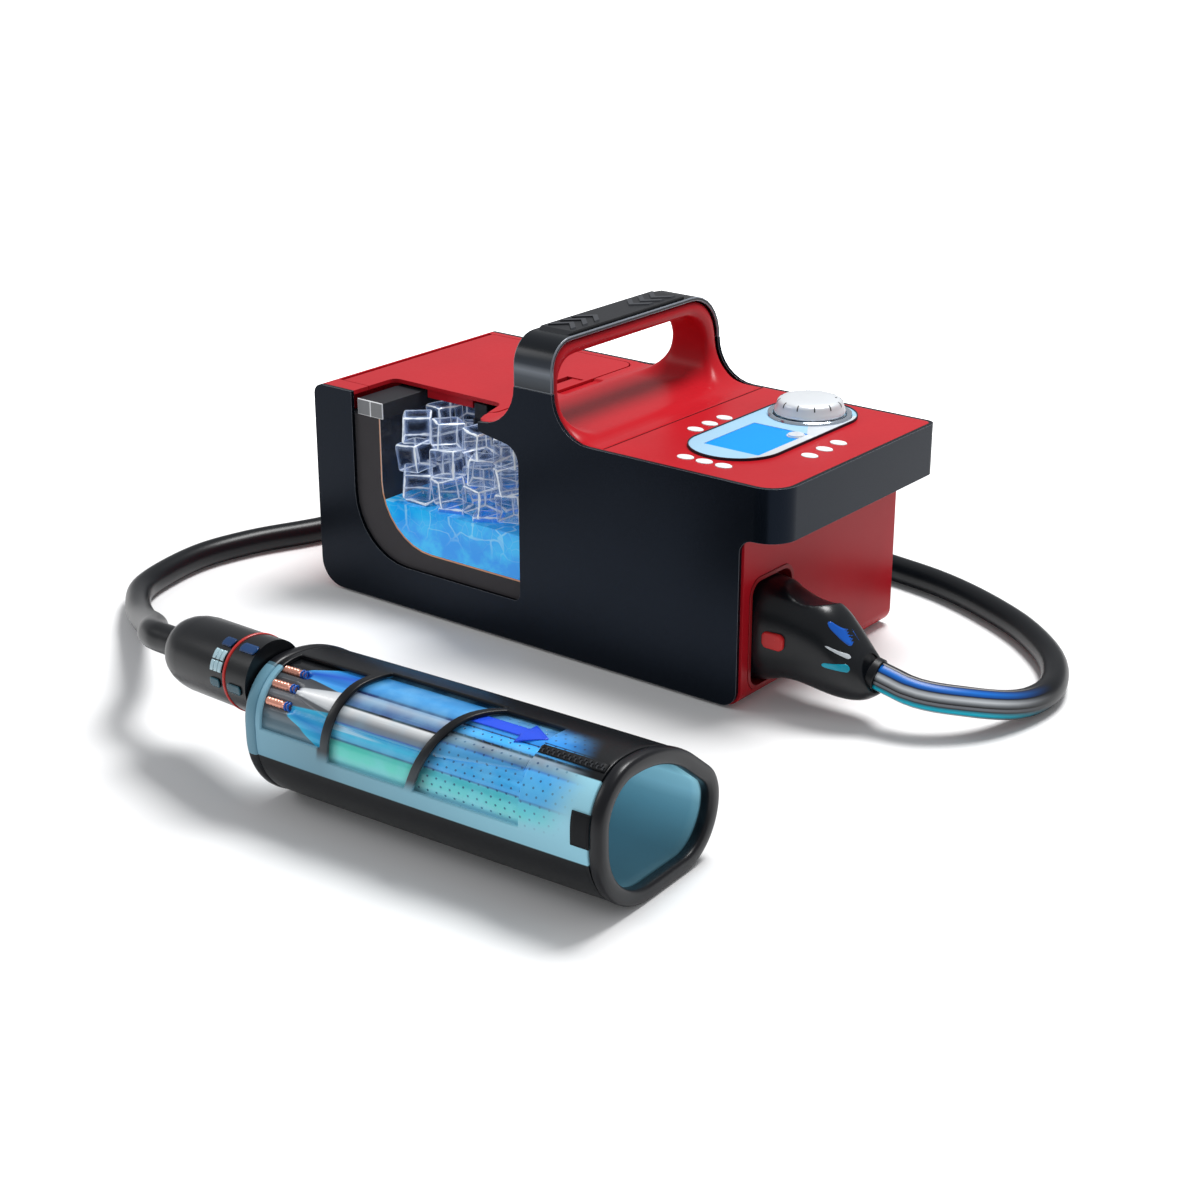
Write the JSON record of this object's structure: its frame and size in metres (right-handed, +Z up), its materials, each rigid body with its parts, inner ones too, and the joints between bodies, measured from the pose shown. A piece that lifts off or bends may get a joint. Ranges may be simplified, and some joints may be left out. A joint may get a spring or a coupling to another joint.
{
  "type": "hot cold therapy machine",
  "caption": "Portable ice-water therapy machine with a cut-away reservoir, control head with dial and buttons, three-tube hose and a tubular wrap",
  "frame": {"origin": "middle of the machine on the floor, at the underside of the middle anti-slip strip", "axes": "+X along the housing to the control head, -Y the long front with the cutaway, +Z up"},
  "size_m": [0.6583, 0.5886, 0.228],
  "materials": {
    "red_shell": "satin gloss",
    "black_cover": "gloss",
    "black_plastic": "satin",
    "soft_rubber": "matt",
    "foam": "moulded foam",
    "liner_metal": "copper-toned anodised",
    "rim_grey": "satin",
    "coolant": "water",
    "ice": "clear ice",
    "white_plastic": "satin",
    "alloy": "satin",
    "steel": "plain",
    "blue_tube": "flexible tube",
    "board": "coated",
    "pale_blue": "gloss",
    "screen": "lit display",
    "orange_red": "gloss",
    "hose_skin": "satin sleeve",
    "copper": "ringed fitting",
    "black_fabric": "laminated knit",
    "bladder_blue": "welded film",
    "bladder_clear": "clear film",
    "lining_teal": "soft lining",
    "black_binding": "woven tape"
  },
  "bodies": {
    "machine": {"base_tray": "black_plastic", "rubber_feet": "soft_rubber", "front_cover": "black_cover", "rear_cover": "black_cover", "tail_wall": "red_shell", "end_wall": "red_shell", "deck_shell": "red_shell", "handle_cover": "black_cover", "grip_pad": "soft_rubber", "control_panel": "red_shell", "insulation_foam": "foam", "tank_liner": "liner_metal", "tank_rim": "rim_grey", "coolant_water": "coolant", "ice_cubes": "ice", "intake_filter": "white_plastic", "water_pump": "black_plastic", "air_pump": "black_plastic", "valve_manifold": "alloy", "coolant_lines": "blue_tube", "main_board": "board", "display_bezel": "pale_blue", "lcd_screen": "screen", "knob_ring": "alloy", "dial_encoder": "alloy", "hinge_pin": "steel", "power_inlet": "black_plastic", "hose_socket": "orange_red", "plug_shell": "black_plastic", "plug_tubes": "blue_tube", "plug_boot": "black_plastic", "hose": "hose_skin", "connector_shell": "black_plastic", "connector_ring": "orange_red", "connector_tubes": "blue_tube", "barb_fittings": "copper", "wrap_fabric": "black_fabric", "wrap_bladder": "bladder_blue", "air_bladder": "bladder_clear", "wrap_lining": "lining_teal", "wrap_binding": "black_binding", "wrap_zipper": "black_binding", "cover_screws": "steel"},
    "lid": {"lid": "red_shell", "lid_gasket": "soft_rubber", "latch_spring": "steel"},
    "latch": {"lid_latch": "red_shell"},
    "dial_press": {"dial_plunger": "alloy"},
    "dial": {"dial_shaft": "alloy", "dial_knob": "alloy"},
    "release": {"release_button": "orange_red"},
    "button_1": {"button_1": "white_plastic"},
    "button_2": {"button_2": "white_plastic"},
    "button_3": {"button_3": "white_plastic"},
    "button_4": {"button_4": "white_plastic"},
    "button_5": {"button_5": "white_plastic"},
    "button_6": {"button_6": "white_plastic"},
    "button_7": {"button_7": "white_plastic"},
    "button_8": {"button_8": "white_plastic"},
    "button_9": {"button_9": "white_plastic"}
  },
  "joints": [
    {"name": "lid_hinge", "type": "hinge", "parent": "machine", "child": "lid", "pos_m": [-0.193, 0, 0.155], "axis": [0, -1, 0], "range_deg": [0, 100]},
    {"name": "latch_slide", "type": "slide", "parent": "lid", "child": "latch", "axis": [-1, 0, 0], "range_m": [0, 0.004], "stiffness_N_per_m": 400, "springref_m": -0.002, "deforming": ["latch_spring"]},
    {"name": "dial_push", "type": "slide", "parent": "machine", "child": "dial_press", "axis": [0, 0, -1], "range_m": [0, 0.001], "stiffness_N_per_m": 1500, "springref_m": -0.001},
    {"name": "dial_turn", "type": "hinge", "parent": "dial_press", "child": "dial", "pos_m": [0.128, 0.056, 0.17], "axis": [0, 0, 1], "continuous": true},
    {"name": "button_1_push", "type": "slide", "parent": "machine", "child": "button_1", "axis": [0, 0, -1], "range_m": [0, 0.001], "stiffness_N_per_m": 800, "springref_m": -0.001},
    {"name": "button_2_push", "type": "slide", "parent": "machine", "child": "button_2", "axis": [0, 0, -1], "range_m": [0, 0.001], "stiffness_N_per_m": 800, "springref_m": -0.001},
    {"name": "button_3_push", "type": "slide", "parent": "machine", "child": "button_3", "axis": [0, 0, -1], "range_m": [0, 0.001], "stiffness_N_per_m": 800, "springref_m": -0.001},
    {"name": "button_4_push", "type": "slide", "parent": "machine", "child": "button_4", "axis": [0, 0, -1], "range_m": [0, 0.001], "stiffness_N_per_m": 800, "springref_m": -0.001},
    {"name": "button_5_push", "type": "slide", "parent": "machine", "child": "button_5", "axis": [0, 0, -1], "range_m": [0, 0.001], "stiffness_N_per_m": 800, "springref_m": -0.001},
    {"name": "button_6_push", "type": "slide", "parent": "machine", "child": "button_6", "axis": [0, 0, -1], "range_m": [0, 0.001], "stiffness_N_per_m": 800, "springref_m": -0.001},
    {"name": "button_7_push", "type": "slide", "parent": "machine", "child": "button_7", "axis": [0, 0, -1], "range_m": [0, 0.001], "stiffness_N_per_m": 800, "springref_m": -0.001},
    {"name": "button_8_push", "type": "slide", "parent": "machine", "child": "button_8", "axis": [0, 0, -1], "range_m": [0, 0.001], "stiffness_N_per_m": 800, "springref_m": -0.001},
    {"name": "button_9_push", "type": "slide", "parent": "machine", "child": "button_9", "axis": [0, 0, -1], "range_m": [0, 0.001], "stiffness_N_per_m": 800, "springref_m": -0.001},
    {"name": "release_push", "type": "slide", "parent": "machine", "child": "release", "axis": [0, 1, 0], "range_m": [0, 0.0015], "stiffness_N_per_m": 800, "springref_m": -0.001}
  ]
}
